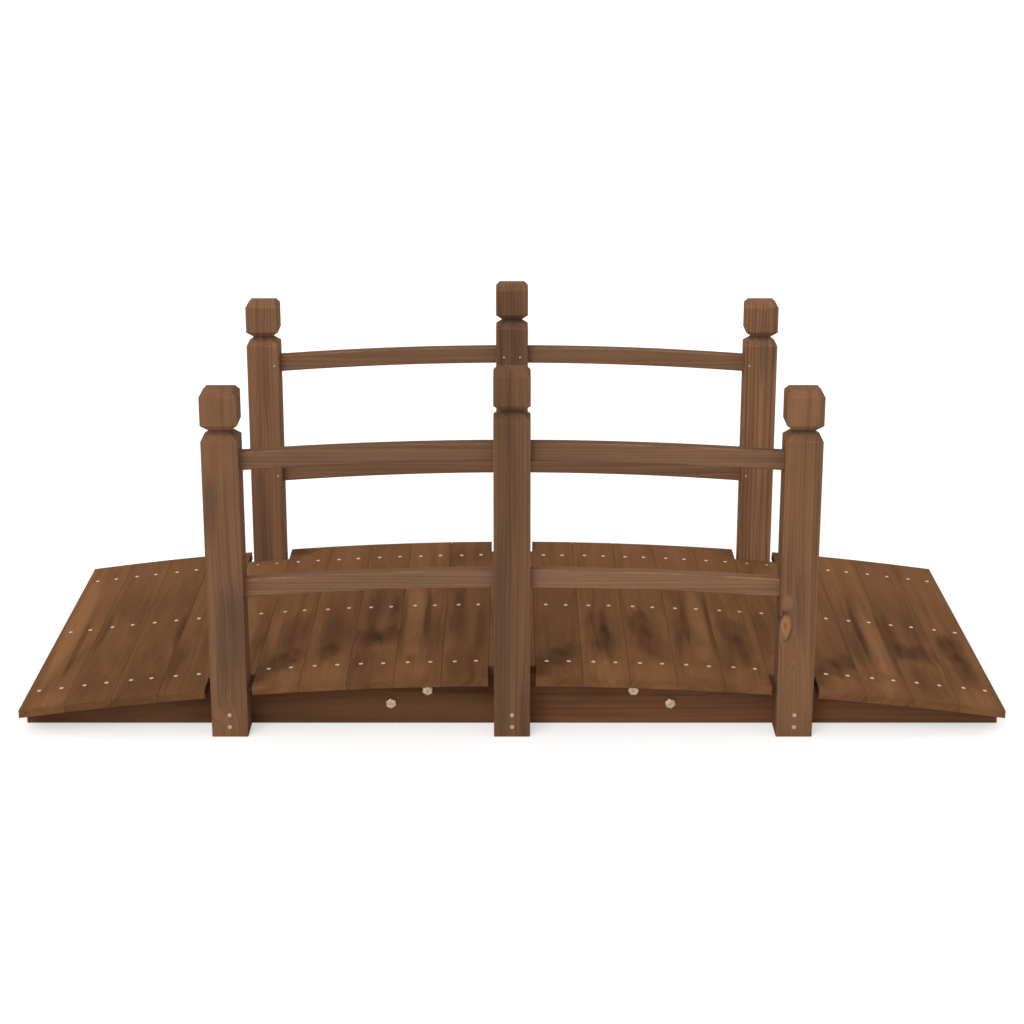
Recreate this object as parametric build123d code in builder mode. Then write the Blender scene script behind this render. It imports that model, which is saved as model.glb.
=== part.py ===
from build123d import *
import math
import os

# Arched wooden garden bridge with a post-and-rail fence along each side of its walkway.
# X runs along the walkway, Y across it and Z up, in millimetres.
# The origin is on the ground, under the middle of the deck.

# Whole bridge
LENGTH = 1500
WIDTH = 670

# Beams under the deck: flat below, arched above, in two lengths that butt end to end
BEAM_THICKNESS = 40
BEAM_CROWN_HEIGHT = 82
BEAM_END_HEIGHT = 30
BEAM_JOINT_X = 22

# Splice boards that tie the two lengths of each beam together
SPLICE_LENGTH = 500
SPLICE_HEIGHT = 54
SPLICE_THICKNESS = 20
SPLICE_CENTRE_X = 28.5
SPLICE_GROUND_CLEARANCE = 12
SPLICE_CHAMFER = 4

# Deck planks, laid side by side on the arch
PLANK_COUNT = 21
PLANK_THICKNESS = 12.5
PLANK_GAP = 0.3
PLANK_SEAT_CLEARANCE = 0.1
PLANK_POST_CLEARANCE = 0.5
PLANK_EDGE_RADIUS = 0.4

# Posts, with a chamfered cap above a grooved neck
POST_SIDE = 55
CENTRE_POST_HEIGHT = 570
END_POST_DROP = 30
POST_PLANK_STEPS = 6
POST_EDGE_RADIUS = 2
CAP_CHAMFER_IN = 6.5
CAP_CHAMFER_DOWN = 7.5
CAP_HEIGHT = 50
NECK_INSET = 14.5
NECK_UPPER_SLOPE = 12.2
NECK_LOWER_SLOPE = 12.3

# Rails, curved like the deck and housed in mortises in the posts; the drop is from the top of the centre post
RAIL_THICKNESS = 20
RAIL_HEIGHT = 28
TOP_RAIL_DROP = 138
RAIL_SPACING = 198
RAIL_EDGE_RADIUS = 2.5
MORTISE_DEPTH = 20
MORTISE_CLEARANCE = 0.3

# The arch follows from the beams' length and their heights at the crown and at the ends
HALF_LENGTH = LENGTH / 2
ARCH_RISE = BEAM_CROWN_HEIGHT - BEAM_END_HEIGHT
ARCH_RADIUS = (HALF_LENGTH**2 + ARCH_RISE**2) / (2 * ARCH_RISE)
PLANK_ANGLE = 2 * math.asin(HALF_LENGTH / ARCH_RADIUS) / PLANK_COUNT
PLANK_WIDTH = ARCH_RADIUS * PLANK_ANGLE - PLANK_GAP

# Posts stand in the middle of the plank that makes room for them
POST_X = ARCH_RADIUS * math.sin(POST_PLANK_STEPS * PLANK_ANGLE)
POST_Y = (WIDTH - POST_SIDE) / 2
SIDE_BEAM_Y = WIDTH / 2 - POST_SIDE - BEAM_THICKNESS / 2
POST_STEPS = (-POST_PLANK_STEPS, 0, POST_PLANK_STEPS)
SHORT_PLANK_LENGTH = WIDTH - 2 * (POST_SIDE + PLANK_POST_CLEARANCE)

# The rails keep their place below the tops of the posts
END_POST_HEIGHT = CENTRE_POST_HEIGHT - END_POST_DROP
TOP_RAIL_CROWN_Z = CENTRE_POST_HEIGHT - TOP_RAIL_DROP
LOWER_RAIL_CROWN_Z = TOP_RAIL_CROWN_Z - RAIL_SPACING

SIDES = {"front": -1, "rear": 1}
BAYS = {"left": -1, "right": 1}
RAIL_CROWNS = {"top": TOP_RAIL_CROWN_Z, "lower": LOWER_RAIL_CROWN_Z}


def save(builder, name):
    """Labels a finished piece and writes it to its own file."""
    builder.part.label = name
    export_step(builder.part, f"parts/{name}.step")


def lengthwise_plane(x, y):
    """Upright plane along the bridge through (x, y), with its own x along X and its own y up."""
    return Plane(origin=(x, y, 0), x_dir=(1, 0, 0), z_dir=(0, -1, 0))


def crosswise_plane(x, y):
    """Upright plane across the bridge through (x, y), with its own x along Y and its own y up."""
    return Plane(origin=(x, y, 0), x_dir=(0, 1, 0), z_dir=(1, 0, 0))


def arc_over(x_from, x_to, radius, crown_z):
    """Line of an arch with its crown at x = 0, between two places along the bridge."""

    def on_arc(x):
        return (x, crown_z - radius + math.sqrt(radius**2 - x**2))

    return ThreePointArc(on_arc(x_from), on_arc((x_from + x_to) / 2), on_arc(x_to))


def bay_ends(bay):
    """Where the rails of one bay end, inside the mortises of the centre post and the end post."""
    inner = POST_SIDE / 2 - MORTISE_DEPTH
    outer = POST_X - POST_SIDE / 2 + MORTISE_DEPTH
    return sorted((bay * inner, bay * outer))


def rail_outline(bay, crown_z, clearance):
    """Sketch of the long face of a rail, grown all round by the clearance."""
    x_from, x_to = bay_ends(bay)
    x_from -= clearance
    x_to += clearance
    top = RAIL_HEIGHT + clearance
    with BuildSketch() as outline:
        with BuildLine():
            lower = arc_over(x_from, x_to, ARCH_RADIUS - clearance, crown_z - clearance)
            upper = arc_over(x_from, x_to, ARCH_RADIUS + top, crown_z + top)
            Line(lower @ 0, upper @ 0)
            Line(lower @ 1, upper @ 1)
        make_face()
    return outline.sketch


def post_outline(height):
    """Sketch of a post from foot to top: shaft, shoulder, neck groove and chamfered cap."""
    half = POST_SIDE / 2
    cap_z = height - CAP_HEIGHT
    neck_z = cap_z - NECK_UPPER_SLOPE
    shoulder_z = neck_z - NECK_LOWER_SLOPE
    with BuildSketch() as outline:
        with BuildLine():
            Polyline(
                (0, 0),
                (half, 0),
                (half, shoulder_z),
                (half - NECK_INSET, neck_z),
                (half, cap_z),
                (half, height - CAP_CHAMFER_DOWN),
                (half - CAP_CHAMFER_IN, height),
                (0, height),
                close=True,
            )
        make_face()
        mirror(about=Plane.YZ)
    return outline.sketch


os.makedirs("parts", exist_ok=True)

# Beams: three lines of them, each with a left and a right length
BEAM_LINES = {"front": -SIDE_BEAM_Y, "middle": 0, "rear": SIDE_BEAM_Y}
BEAM_SPANS = {"left": (-HALF_LENGTH, BEAM_JOINT_X), "right": (BEAM_JOINT_X, HALF_LENGTH)}
for line, beam_y in BEAM_LINES.items():
    for end, (x_from, x_to) in BEAM_SPANS.items():
        with BuildPart() as beam:
            with BuildSketch(lengthwise_plane(0, beam_y)):
                with BuildLine():
                    top = arc_over(x_from, x_to, ARCH_RADIUS, BEAM_CROWN_HEIGHT)
                    Polyline(top @ 0, (x_from, 0), (x_to, 0), top @ 1)
                make_face()
            extrude(amount=BEAM_THICKNESS / 2, both=True)
        save(beam, f"{line}_{end}_beam")

# Splice boards: each lies flat against the hidden side of its beam, over the butt joint
SPLICE_FACES = {"front": 1, "middle": 1, "rear": -1}
SPLICE_Z = SPLICE_GROUND_CLEARANCE + SPLICE_HEIGHT / 2
for line, beam_y in BEAM_LINES.items():
    splice_y = beam_y + SPLICE_FACES[line] * (BEAM_THICKNESS + SPLICE_THICKNESS) / 2
    with BuildPart() as splice:
        with BuildSketch(lengthwise_plane(SPLICE_CENTRE_X, splice_y)):
            with Locations((0, SPLICE_Z)):
                Rectangle(SPLICE_LENGTH, SPLICE_HEIGHT)
            chamfer(vertices(), SPLICE_CHAMFER)
        extrude(amount=SPLICE_THICKNESS / 2, both=True)
    save(splice, f"{line}_splice_board")

# Deck planks: flat boards square to the arch, short ones between each pair of posts
for number in range(PLANK_COUNT):
    step = number - PLANK_COUNT // 2
    angle = step * PLANK_ANGLE
    outward = (math.sin(angle), 0, math.cos(angle))
    seat_radius = ARCH_RADIUS + PLANK_SEAT_CLEARANCE
    seat = Plane(
        origin=(seat_radius * outward[0], 0, BEAM_CROWN_HEIGHT - ARCH_RADIUS + seat_radius * outward[2]),
        x_dir=(math.cos(angle), 0, -math.sin(angle)),
        z_dir=outward,
    )
    length = SHORT_PLANK_LENGTH if step in POST_STEPS else WIDTH
    with BuildPart() as plank:
        with BuildSketch(seat):
            Rectangle(PLANK_WIDTH, length)
        extrude(amount=PLANK_THICKNESS)
        # The outermost planks end plumb with the beams
        split(bisect_by=Plane.YZ.offset(HALF_LENGTH), keep=Keep.BOTTOM)
        split(bisect_by=Plane.YZ.offset(-HALF_LENGTH), keep=Keep.TOP)
        # Only the long top edges are eased: the ends are left as sawn
        fillet(faces().sort_by(Axis.Z)[-1].edges().filter_by(Axis.Y), PLANK_EDGE_RADIUS)
    save(plank, f"deck_plank_{number + 1:02d}")

# Posts: the same outline seen from the front and from the side, with a mortise for each rail
POSTS = {
    "left": (-POST_X, END_POST_HEIGHT),
    "centre": (0, CENTRE_POST_HEIGHT),
    "right": (POST_X, END_POST_HEIGHT),
}
POST_BAYS = {"left": ("left",), "centre": ("left", "right"), "right": ("right",)}
for side, sign in SIDES.items():
    for place, (post_x, height) in POSTS.items():
        post_y = sign * POST_Y
        with BuildPart() as post:
            with BuildSketch(lengthwise_plane(post_x, post_y)):
                add(post_outline(height))
            extrude(amount=POST_SIDE / 2, both=True)
            with BuildSketch(crosswise_plane(post_x, post_y)):
                add(post_outline(height))
            extrude(amount=POST_SIDE / 2, both=True, mode=Mode.INTERSECT)
            fillet(edges().filter_by(Axis.Z), POST_EDGE_RADIUS)
            for bay in POST_BAYS[place]:
                for crown_z in RAIL_CROWNS.values():
                    with BuildSketch(lengthwise_plane(0, post_y)):
                        add(rail_outline(BAYS[bay], crown_z, MORTISE_CLEARANCE))
                    extrude(amount=RAIL_THICKNESS / 2 + MORTISE_CLEARANCE, both=True, mode=Mode.SUBTRACT)
        save(post, f"{side}_{place}_post")

# Rails: a top and a lower one in each bay of both sides
for side, sign in SIDES.items():
    for bay, bay_sign in BAYS.items():
        for level, crown_z in RAIL_CROWNS.items():
            with BuildPart() as rail:
                with BuildSketch(lengthwise_plane(0, sign * POST_Y)):
                    add(rail_outline(bay_sign, crown_z, 0))
                extrude(amount=RAIL_THICKNESS / 2, both=True)
                fillet(edges().filter_by(GeomType.CIRCLE), RAIL_EDGE_RADIUS)
            save(rail, f"{side}_{bay}_{level}_rail")
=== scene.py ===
import math
import random

import bpy
from mathutils import Euler, Matrix, Vector


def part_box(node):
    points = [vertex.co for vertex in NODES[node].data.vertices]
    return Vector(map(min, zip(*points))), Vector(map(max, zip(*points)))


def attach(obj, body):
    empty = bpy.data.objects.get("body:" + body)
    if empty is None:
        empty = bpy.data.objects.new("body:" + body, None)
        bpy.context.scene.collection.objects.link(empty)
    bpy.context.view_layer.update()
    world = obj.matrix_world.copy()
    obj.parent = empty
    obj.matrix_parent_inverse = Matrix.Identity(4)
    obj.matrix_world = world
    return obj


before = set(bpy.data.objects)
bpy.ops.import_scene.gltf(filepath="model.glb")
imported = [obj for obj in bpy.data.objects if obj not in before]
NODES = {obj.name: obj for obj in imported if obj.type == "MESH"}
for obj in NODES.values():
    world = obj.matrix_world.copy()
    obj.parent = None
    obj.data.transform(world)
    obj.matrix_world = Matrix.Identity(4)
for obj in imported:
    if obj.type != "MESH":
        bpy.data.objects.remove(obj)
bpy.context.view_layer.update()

PLANKS = sorted(name for name in NODES if name.startswith("deck_plank_"))
POSTS = sorted(name for name in NODES if name.endswith("_post"))
RAILS = sorted(name for name in NODES if name.endswith("_rail"))

# Camera, in metres and degrees: the plain pitched view nearest to the photograph's
CAMERA_PLACE = (0.0, -3.571, 1.366)
CAMERA_PITCH = 17.29
CAMERA_LENS_MM = 80.6

# Light
SKY_STRENGTH = 0.62
KEY_STRENGTH = 1.22
KEY_SOFTNESS = 40
KEY_TURN = (56, 0, -20)
FLOOR_SIZE = 60
FLOOR_COLOUR = (0.86, 0.86, 0.86, 1)
FLOOR_GLOW = 0.48
FLOOR_DROP = 0.0005

# Sides of the round forms, and how sharp an edge still shades as round, in degrees
SMALL_HEAD_SIDES = 14
TURNED_SIDES = 48
DIMPLE_SIDES = 24
WASHER_SIDES = 32
THREAD_SIDES = 20
SCREW_SMOOTHING = 35
NAIL_SMOOTHING = 40
BOLT_SMOOTHING = 30
# A face points a given way when the cosine between the two passes this
SAME_WAY = 0.9

# Screws: countersunk heads with a cross recess, given by its length, width and depth
SCREW_HEAD_RADIUS = 0.0036
SCREW_HEAD_HEIGHT = 0.0016
SCREW_STANDS_PROUD = 0.0005
SCREW_RIM = 0.0008
RECESS = (0.0032, 0.0007, 0.0005)
FILLED_RECESS = (0.0020, 0.0004, 0.0002)
SCREW_FROM_PLANK_CENTRE = 0.017
SCREW_STRAY = 0.0012
FOOT_SCREW_HEIGHTS = (0.0155, 0.035)

# Nails that pin the rails in their mortises
NAIL_HEAD_RADIUS = 0.0022
NAIL_STANDS_PROUD = 0.0006
NAIL_ROUNDING_STEPS = 3
NAIL_FROM_END_POST_EDGE = 0.0076
NAIL_FROM_CENTRE_POST_EDGE = 0.0135
RAIL_HALF_HEIGHT = 0.014

# Hexagon bolts through the beams and their splice boards, with a washer and nut on the hidden side
BOLT_ACROSS_FLATS = 0.0146
BOLT_HEAD_HEIGHT = 0.0058
CORNER_CHAMFER_IN = 0.0026
CORNER_CHAMFER_DROP = 0.0017
BOLT_RECESS_RADIUS = 0.0024
BOLT_RECESS_DEPTH = 0.0009
BOLT_RECESS_ROUNDING = 0.0006
BOLT_ROUNDING_STEPS = 3
# A face counts as in the dimple when it lies at least this far below the head's top
LEAST_SUNK = 0.00001
# Along the bridge and up, in metres, and how far each bolt is turned, in degrees
BOLT_PLACES = (
    (-0.1865, 0.0338, 4),
    (-0.130, 0.0554, -3),
    (0.187, 0.0554, 26),
    (0.244, 0.0338, 14),
)
BOLT_RADIUS = 0.004
THREAD_PITCH = 0.0012
THREAD_DEPTH_SHARE = 0.88
THREAD_TURNS = 4
NUT_HEIGHT = 0.0065
WASHER_RADIUS = 0.0095
WASHER_THICKNESS = 0.0016
WASHER_RIM_SHARE = 0.25
WASHER_RIM_STEPS = 2
THREAD_RIM_STEPS = 2


def srgb(red, green, blue):
    """Colour from display values of 0 to 255, as the linear values that sockets take."""

    def linear(value):
        share = value / 255
        return share / 12.92 if share <= 0.04045 else ((share + 0.055) / 1.055) ** 2.4

    return (linear(red), linear(green), linear(blue), 1)


def shaded(colour, share):
    """Colour made lighter or darker by a share."""
    return (colour[0] * share, colour[1] * share, colour[2] * share, 1)


# Node helpers

def new_group(name, inputs, outputs):
    """Shader node group with named sockets: each input is (name, kind, value)."""
    group = bpy.data.node_groups.new(name, "ShaderNodeTree")
    for socket, kind, value in inputs:
        made = group.interface.new_socket(socket, in_out="INPUT", socket_type="NodeSocket" + kind)
        if value is not None:
            made.default_value = value
    for socket, kind in outputs:
        group.interface.new_socket(socket, in_out="OUTPUT", socket_type="NodeSocket" + kind)
    return group, group.nodes.new("NodeGroupInput"), group.nodes.new("NodeGroupOutput")


def fill(tree, made, values):
    """Fills a node's inputs with values, or links them to sockets."""
    for key, value in values.items():
        if isinstance(value, bpy.types.NodeSocket):
            tree.links.new(value, made.inputs[key])
        else:
            made.inputs[key].default_value = value


def node(tree, kind, values=None, **settings):
    """Adds a node, sets its properties and fills its inputs."""
    made = tree.nodes.new("ShaderNode" + kind)
    for key, value in settings.items():
        setattr(made, key, value)
    fill(tree, made, values or {})
    return made


def use_group(tree, group, values):
    """Places a shared effect in a tree with its own values."""
    made = tree.nodes.new("ShaderNodeGroup")
    made.node_tree = group
    fill(tree, made, values)
    return made.outputs


def maths(tree, operation, first, second=None, clamp=False):
    """Result of one arithmetic step on values or sockets."""
    values = {0: first}
    if second is not None:
        values[1] = second
    return node(tree, "Math", values, operation=operation, use_clamp=clamp).outputs[0]


def vectors(tree, operation, first, second):
    """Result of one step on vectors."""
    return node(tree, "VectorMath", {0: first, 1: second}, operation=operation).outputs[0]


def scaled(tree, vector, share):
    """Vector made longer or shorter by a share."""
    return node(tree, "VectorMath", {0: vector, "Scale": share}, operation="SCALE").outputs[0]


def length_of(tree, vector):
    """Length of a vector."""
    return node(tree, "VectorMath", {0: vector}, operation="LENGTH").outputs["Value"]


def stretched(tree, vector, across, along):
    """Vector scaled for a pattern that runs along the grain, which is the vector's z."""
    return vectors(tree, "MULTIPLY", vector, (across, across, along))


def noise(tree, vector, detail, roughness=0.5, distortion=0.0):
    """Noise of scale 1 on a vector that is already scaled."""
    values = {
        "Vector": vector,
        "Scale": 1.0,
        "Detail": detail,
        "Roughness": roughness,
        "Distortion": distortion,
    }
    return node(tree, "TexNoise", values).outputs


def ramp(tree, value, low, high, start=0.0, end=1.0):
    """Value eased from start to end while it goes from low to high."""
    values = {"Value": value, "From Min": low, "From Max": high, "To Min": start, "To Max": end}
    return node(tree, "MapRange", values, interpolation_type="SMOOTHSTEP").outputs[0]


def mixed(tree, share, first, second, blend="MIX"):
    """Two colours blended by a share."""
    made = node(tree, "Mix", data_type="RGBA", blend_type=blend)
    fill(tree, made, {0: share, 6: first, 7: second})
    return made.outputs[2]


# Shared effects of the wood finish

# Edges look eased by this much, in metres
EDGE_SOFTNESS = 0.0018
EDGE_SAMPLES = 4
# How far a mark runs out along the grain in streaks, in metres,
# and the most that this may be as a share of the mark's half-length
FEATHER = 0.07
FEATHER_SHARE = 0.95
# The middle of a noise, about which it lightens and darkens or pushes both ways
NOISE_MIDDLE = 0.5
# How far the rings bend, in metres, round a full dark mark and where the grain swells
BEND_AT_MARK = 0.007
BEND_AT_SWELL = 0.03
# Clouds change the tone by this share of their noise; full pores and rubbed edges multiply it
CLOUD_STRENGTH = 0.45
PORE_SHADE = 0.86
RUBBED_LIGHTNESS = 1.34
# Roughness of the stained wood, and what latewood, fibres and sawn ends add to it
WOOD_ROUGHNESS = 0.76
LATEWOOD_ROUGHNESS = -0.1
FIBRE_ROUGHNESS = 0.4
SAWN_ROUGHNESS = 0.12
# Shares of latewood and pores in the height of the surface, and how that height shows
LATEWOOD_HEIGHT = 0.5
PORE_DEPTH = 0.3
RELIEF_STRENGTH = 0.3
RELIEF_HEIGHT = 0.0006
WOOD_SPECULAR = 0.02
# A knot's width as a share of its length, where it fades into the depth of the wood,
# and how much it and its bark cover the wood
KNOT_NARROWNESS = 0.42
KNOT_FADE = (0.012, 0.04)
KNOT_COVER = 0.85
BARK_COVER = 0.7


def make_growth_rings():
    """Rings round a pith that runs along z: latewood lines, and broad bands that follow the same curves."""
    tree, given, made = new_group(
        "growth_rings",
        [
            ("Vector", "Vector", None),
            ("Ring Width", "Float", 0.005),
            ("Wander", "Float", 0.006),
            ("Bulge", "Float", 0.0),
        ],
        [("Latewood", "Float"), ("Band", "Float")],
    )
    vector, width, wander, bulge = (given.outputs[n] for n in ("Vector", "Ring Width", "Wander", "Bulge"))
    slow = noise(tree, stretched(tree, vector, 7, 2.0), 2)["Color"]
    push = scaled(tree, vectors(tree, "SUBTRACT", slow, (NOISE_MIDDLE,) * 3), wander)
    moved = vectors(tree, "ADD", vector, push)
    radius = length_of(tree, vectors(tree, "MULTIPLY", moved, (1, 1, 0)))
    radius = maths(tree, "ADD", radius, bulge)
    along = node(tree, "SeparateXYZ", {0: vector}).outputs["Z"]
    by_radius = node(tree, "CombineXYZ", {0: maths(tree, "MULTIPLY", radius, 85.0)}).outputs[0]
    drift = node(tree, "CombineXYZ", {1: maths(tree, "MULTIPLY", along, 1.3)}).outputs[0]
    band = noise(tree, vectors(tree, "ADD", by_radius, drift), 2, 0.55)["Fac"]
    count = maths(tree, "DIVIDE", radius, width)
    fine = noise(tree, stretched(tree, vector, 60, 4), 2)["Fac"]
    count = maths(tree, "ADD", count, maths(tree, "MULTIPLY", fine, 0.5))
    # Years of wide and of narrow rings
    count = maths(tree, "ADD", count, maths(tree, "MULTIPLY", band, 1.6))
    phase = maths(tree, "FRACT", count)
    rise = ramp(tree, phase, 0.2, 0.88)
    fall = ramp(tree, phase, 0.9, 1.0, 1.0, 0.0)
    ring = maths(tree, "FLOOR", count)
    tone = node(tree, "TexWhiteNoise", {"W": ring}, noise_dimensions="1D").outputs["Value"]
    late = maths(tree, "MULTIPLY", maths(tree, "MULTIPLY", rise, fall), ramp(tree, tone, 0, 1, 0.3, 1.0))
    fill(tree, made, {"Latewood": late, "Band": band})
    return tree


def make_stain_marks():
    """How the stain took: smoky clouds, and fibres and short pores drawn out along the grain."""
    tree, given, made = new_group(
        "stain_marks",
        [("Vector", "Vector", None)],
        [("Smoke", "Float"), ("Fibre", "Float"), ("Cloud", "Float"), ("Pore", "Float")],
    )
    vector = given.outputs["Vector"]
    smoke = noise(tree, stretched(tree, vector, 19, 3.2), 3, 0.55, 0.8)["Fac"]
    cloud = noise(tree, stretched(tree, vector, 9, 3), 3)["Fac"]
    coarse = noise(tree, stretched(tree, vector, 260, 5), 3, 0.6)["Fac"]
    fine = noise(tree, stretched(tree, vector, 1000, 18), 2, 0.6)["Fac"]
    pore = noise(tree, stretched(tree, vector, 850, 34), 1)["Fac"]
    fibre = maths(tree, "ADD", maths(tree, "MULTIPLY", coarse, 0.6), maths(tree, "MULTIPLY", fine, 0.4))
    fill(tree, made, {
        "Smoke": ramp(tree, smoke, 0.46, 0.7),
        "Fibre": fibre,
        "Cloud": cloud,
        "Pore": ramp(tree, pore, 0.64, 0.74),
    })
    return tree


def make_cut_faces():
    """Masks for sawn ends, which face along the grain, and for edges where the stain is rubbed."""
    tree, given, made = new_group(
        "cut_faces",
        [("Normal", "Vector", None), ("Vector", "Vector", None), ("Edge", "Float", 0.0)],
        [("End Grain", "Float"), ("Worn Edge", "Float")],
    )
    parts = node(tree, "SeparateXYZ", {0: given.outputs["Normal"]}).outputs
    across = maths(tree, "ABSOLUTE", maths(tree, "MULTIPLY", parts["X"], parts["Y"]))
    end = ramp(tree, maths(tree, "ABSOLUTE", parts["Z"]), 0.55, 0.95)
    rub = noise(tree, stretched(tree, given.outputs["Vector"], 60, 14), 3, 0.65)["Fac"]
    edge = maths(tree, "MAXIMUM", ramp(tree, across, 0.2, 0.42), given.outputs["Edge"])
    worn = maths(tree, "MULTIPLY", edge, ramp(tree, rub, 0.36, 0.6))
    fill(tree, made, {"End Grain": end, "Worn Edge": worn})
    return tree


def make_eased_edges():
    """Normals that turn softly over a sharp edge, and a mask along that edge."""
    tree, given, made = new_group(
        "eased_edges",
        [("Softness", "Float", EDGE_SOFTNESS)],
        [("Normal", "Vector"), ("Edge", "Float")],
    )
    eased = node(tree, "Bevel", {"Radius": given.outputs["Softness"]}, samples=EDGE_SAMPLES).outputs[0]
    face = tree.nodes.new("ShaderNodeNewGeometry").outputs["Normal"]
    flat = node(tree, "VectorMath", {0: eased, 1: face}, operation="DOT_PRODUCT").outputs["Value"]
    fill(tree, made, {"Normal": eased, "Edge": ramp(tree, flat, 0.99, 0.93)})
    return tree


def make_soft_spot():
    """Uneven oval about a centre, feathered along the grain: a dark heart, a warm patch or a streak."""
    tree, given, made = new_group(
        "soft_spot",
        [
            ("Vector", "Vector", None),
            ("Centre", "Vector", None),
            ("Reach", "Vector", (0.02, 0.02, 0.1)),
            ("Feather", "Float", FEATHER),
            ("Strength", "Float", 0.5),
            ("Others", "Float", 0.0),
        ],
        [("Spot", "Float")],
    )
    value = given.outputs
    streaks = noise(tree, stretched(tree, value["Vector"], 75, 3), 2, 0.5)["Fac"]
    feather = maths(tree, "SUBTRACT", streaks, NOISE_MIDDLE)
    feather = maths(tree, "MULTIPLY", feather, value["Feather"])
    drawn_out = vectors(tree, "ADD", value["Vector"], node(tree, "CombineXYZ", {2: feather}).outputs[0])
    share = vectors(tree, "DIVIDE", vectors(tree, "SUBTRACT", drawn_out, value["Centre"]), value["Reach"])
    seed = scaled(tree, value["Centre"], 57.0)
    uneven = noise(tree, vectors(tree, "ADD", share, seed), 2, 0.5)["Color"]
    push = scaled(tree, vectors(tree, "SUBTRACT", uneven, (NOISE_MIDDLE,) * 3), 0.5)
    distance = length_of(tree, vectors(tree, "ADD", share, push))
    spot = maths(tree, "MULTIPLY", ramp(tree, distance, 0.4, 1.12, 1.0, 0.0), value["Strength"])
    fill(tree, made, {"Spot": maths(tree, "ADD", spot, value["Others"], clamp=True)})
    return tree


def make_knot():
    """Grain that parts round a knot, with masks for the knot itself, its dark bark line and its core."""
    tree, given, made = new_group(
        "knot",
        [("Vector", "Vector", None), ("Centre", "Vector", None), ("Radius", "Float", 0.01)],
        [("Vector", "Vector"), ("Knot", "Float"), ("Bark", "Float"), ("Core", "Float")],
    )
    value = given.outputs
    away = vectors(tree, "SUBTRACT", value["Vector"], value["Centre"])
    away = node(tree, "SeparateXYZ", {0: away}).outputs
    rough = noise(tree, scaled(tree, value["Vector"], 130.0), 2)["Fac"]
    rough = ramp(tree, rough, 0, 1, 0.75, 1.25)
    along = maths(tree, "MULTIPLY", away["Z"], KNOT_NARROWNESS)
    square = maths(tree, "ADD", maths(tree, "POWER", away["X"], 2.0), maths(tree, "POWER", along, 2.0))
    distance = maths(tree, "DIVIDE", maths(tree, "SQRT", square), value["Radius"])
    distance = maths(tree, "MULTIPLY", distance, rough)
    near = ramp(tree, maths(tree, "ABSOLUTE", away["Y"]), *KNOT_FADE, 1.0, 0.0)
    part = maths(tree, "MINIMUM", maths(tree, "POWER", distance, -2.0), 1.0)
    part = maths(tree, "MULTIPLY", maths(tree, "MULTIPLY", part, near), away["X"])
    moved = vectors(tree, "SUBTRACT", value["Vector"], node(tree, "CombineXYZ", {0: part}).outputs[0])
    inside = maths(tree, "MULTIPLY", ramp(tree, distance, 0.4, 1.15, 1.0, 0.0), near)
    edge = maths(tree, "ABSOLUTE", maths(tree, "SUBTRACT", distance, 1.05))
    bark = maths(tree, "MULTIPLY", ramp(tree, edge, 0.0, 0.3, 1.0, 0.0), near)
    lean = maths(tree, "SUBTRACT", along, maths(tree, "MULTIPLY", away["X"], 0.7))
    lean = maths(tree, "DIVIDE", lean, maths(tree, "SQRT", square))
    sides = maths(tree, "ADD", ramp(tree, lean, 0.3, 1.0), ramp(tree, lean, -0.6, -1.0, 0.0, 0.8))
    bark = maths(tree, "MULTIPLY", bark, sides, clamp=True)
    core = ramp(tree, distance, 0.12, 0.5, 0.9, 0.0)
    fill(tree, made, {"Vector": moved, "Knot": inside, "Bark": bark, "Core": core})
    return tree


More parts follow.
